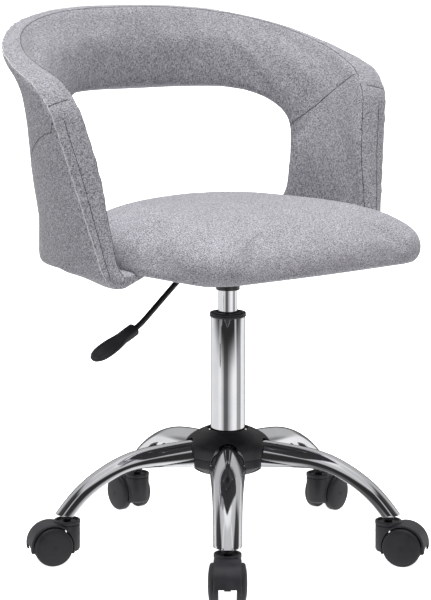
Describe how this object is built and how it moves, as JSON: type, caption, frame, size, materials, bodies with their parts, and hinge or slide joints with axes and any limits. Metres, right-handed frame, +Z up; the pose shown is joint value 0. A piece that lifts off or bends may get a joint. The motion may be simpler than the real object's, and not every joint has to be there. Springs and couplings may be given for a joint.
{
  "type": "swivel desk chair",
  "caption": "Low swivel chair on a bright star base with casters, gas lift and lever, and a flared upholstered back that wraps round as arms with a see-through window.",
  "frame": {"origin": "on the floor, in the middle of the bounding box; the column's axis is 16.6 mm in front of it, at y -0.0166", "axes": "+Z up; -Y is where the sitter faces; -X is the sitter's right, the side of the height lever"},
  "size_m": [0.6494, 0.5599, 0.7843],
  "materials": {
    "upholstery": "heathered mid-grey woven cloth",
    "chrome": "polished bright plating",
    "steel": "zinc plated",
    "black_steel": "satin black paint",
    "plastic": "charcoal, fine grain",
    "plywood": "unfinished plywood",
    "black_board": "plywood stained black"
  },
  "bodies": {
    "base": {"hub_core": "black_steel", "hub_top_cover": "plastic", "hub_bottom_cover": "plastic", "column_tube": "chrome", "guide_bush": "plastic", "thrust_bearing": "steel", "base_arm_1": "chrome", "caster_stem_1": "steel", "base_arm_2": "chrome", "caster_stem_2": "steel", "base_arm_3": "chrome", "caster_stem_3": "steel", "base_arm_4": "chrome", "caster_stem_4": "steel", "base_arm_5": "chrome", "caster_stem_5": "steel"},
    "lift_rod": {"piston_rod": "steel", "rod_clip": "steel"},
    "seat": {"pressure_cylinder": "chrome", "mechanism_plate": "black_steel", "lever_pivot_pin": "steel", "plate_bolt_1": "steel", "plate_bolt_2": "steel", "plate_bolt_3": "steel", "plate_bolt_4": "steel", "seat_board": "black_board", "seat_cushion": "upholstery", "back_shell": "plywood", "right_arm_pad": "upholstery", "left_arm_pad": "upholstery", "back_pad": "upholstery", "right_arm_outer_panel": "upholstery", "left_arm_outer_panel": "upholstery", "back_outer_panel": "upholstery", "rim_boxing": "upholstery", "right_side_flange": "upholstery", "left_side_flange": "upholstery"},
    "lever": {"lever_rod": "black_steel", "lever_grip": "plastic"},
    "release_pin": {"release_pin": "steel"},
    "caster_1": {"caster_housing_1": "plastic", "caster_axle_1": "steel"},
    "wheel_1a": {"caster_wheel_1a": "plastic"},
    "wheel_1b": {"caster_wheel_1b": "plastic"},
    "caster_2": {"caster_housing_2": "plastic", "caster_axle_2": "steel"},
    "wheel_2a": {"caster_wheel_2a": "plastic"},
    "wheel_2b": {"caster_wheel_2b": "plastic"},
    "caster_3": {"caster_housing_3": "plastic", "caster_axle_3": "steel"},
    "wheel_3a": {"caster_wheel_3a": "plastic"},
    "wheel_3b": {"caster_wheel_3b": "plastic"},
    "caster_4": {"caster_housing_4": "plastic", "caster_axle_4": "steel"},
    "wheel_4a": {"caster_wheel_4a": "plastic"},
    "wheel_4b": {"caster_wheel_4b": "plastic"},
    "caster_5": {"caster_housing_5": "plastic", "caster_axle_5": "steel"},
    "wheel_5a": {"caster_wheel_5a": "plastic"},
    "wheel_5b": {"caster_wheel_5b": "plastic"}
  },
  "joints": [
    {"name": "seat_swivel", "type": "hinge", "parent": "base", "child": "lift_rod", "pos_m": [0, -0.0166, 0.2], "axis": [0, 0, 1], "continuous": true},
    {"name": "seat_height", "type": "slide", "parent": "lift_rod", "child": "seat", "axis": [0, 0, 1], "range_m": [-0.028, 0.085]},
    {"name": "lever_lift", "type": "hinge", "parent": "seat", "child": "lever", "pos_m": [-0.022, -0.0166, 0.411], "axis": [0, 1, 0], "range_deg": [0, 6], "stiffness_Nm_per_rad": 2, "springref_deg": -2.86},
    {"name": "pin_press", "type": "slide", "parent": "seat", "child": "release_pin", "axis": [0, 0, -1], "range_m": [0, 0.0024]},
    {"name": "caster_1_swivel", "type": "hinge", "parent": "base", "child": "caster_1", "pos_m": [0.23385, 0.03739, 0.055], "axis": [0, 0, 1], "continuous": true},
    {"name": "wheel_1a_roll", "type": "hinge", "parent": "caster_1", "child": "wheel_1a", "pos_m": [0.25723, 0.04279, 0.0275], "axis": [-0.225, 0.9744, 0], "continuous": true},
    {"name": "wheel_1b_roll", "type": "hinge", "parent": "caster_1", "child": "wheel_1b", "pos_m": [0.25723, 0.04279, 0.0275], "axis": [-0.225, 0.9744, 0], "continuous": true},
    {"name": "caster_2_swivel", "type": "hinge", "parent": "base", "child": "caster_2", "pos_m": [0.02092, 0.22249, 0.055], "axis": [0, 0, 1], "continuous": true},
    {"name": "wheel_2a_roll", "type": "hinge", "parent": "caster_2", "child": "wheel_2a", "pos_m": [0.02301, 0.2464, 0.0275], "axis": [-0.9962, 0.0872, 0], "continuous": true},
    {"name": "wheel_2b_roll", "type": "hinge", "parent": "caster_2", "child": "wheel_2b", "pos_m": [0.02301, 0.2464, 0.0275], "axis": [-0.9962, 0.0872, 0], "continuous": true},
    {"name": "caster_3_swivel", "type": "hinge", "parent": "base", "child": "caster_3", "pos_m": [-0.22092, 0.07717, 0.055], "axis": [0, 0, 1], "continuous": true},
    {"name": "wheel_3a_roll", "type": "hinge", "parent": "caster_3", "child": "wheel_3a", "pos_m": [-0.24301, 0.08655, 0.0275], "axis": [-0.3907, -0.9205, 0], "continuous": true},
    {"name": "wheel_3b_roll", "type": "hinge", "parent": "caster_3", "child": "wheel_3b", "pos_m": [-0.24301, 0.08655, 0.0275], "axis": [-0.3907, -0.9205, 0], "continuous": true},
    {"name": "caster_4_swivel", "type": "hinge", "parent": "base", "child": "caster_4", "pos_m": [-0.15745, -0.19773, 0.055], "axis": [0, 0, 1], "continuous": true},
    {"name": "wheel_4a_roll", "type": "hinge", "parent": "caster_4", "child": "wheel_4a", "pos_m": [-0.1732, -0.21584, 0.0275], "axis": [0.7547, -0.6561, 0], "continuous": true},
    {"name": "wheel_4b_roll", "type": "hinge", "parent": "caster_4", "child": "wheel_4b", "pos_m": [-0.1732, -0.21584, 0.0275], "axis": [0.7547, -0.6561, 0], "continuous": true},
    {"name": "caster_5_swivel", "type": "hinge", "parent": "base", "child": "caster_5", "pos_m": [0.12361, -0.22232, 0.055], "axis": [0, 0, 1], "continuous": true},
    {"name": "wheel_5a_roll", "type": "hinge", "parent": "caster_5", "child": "wheel_5a", "pos_m": [0.13597, -0.24289, 0.0275], "axis": [0.8572, 0.515, 0], "continuous": true},
    {"name": "wheel_5b_roll", "type": "hinge", "parent": "caster_5", "child": "wheel_5b", "pos_m": [0.13597, -0.24289, 0.0275], "axis": [0.8572, 0.515, 0], "continuous": true}
  ],
  "couplings": [
    {"joint": "pin_press", "follows": "lever_lift", "m_per_rad": 0.022}
  ]
}
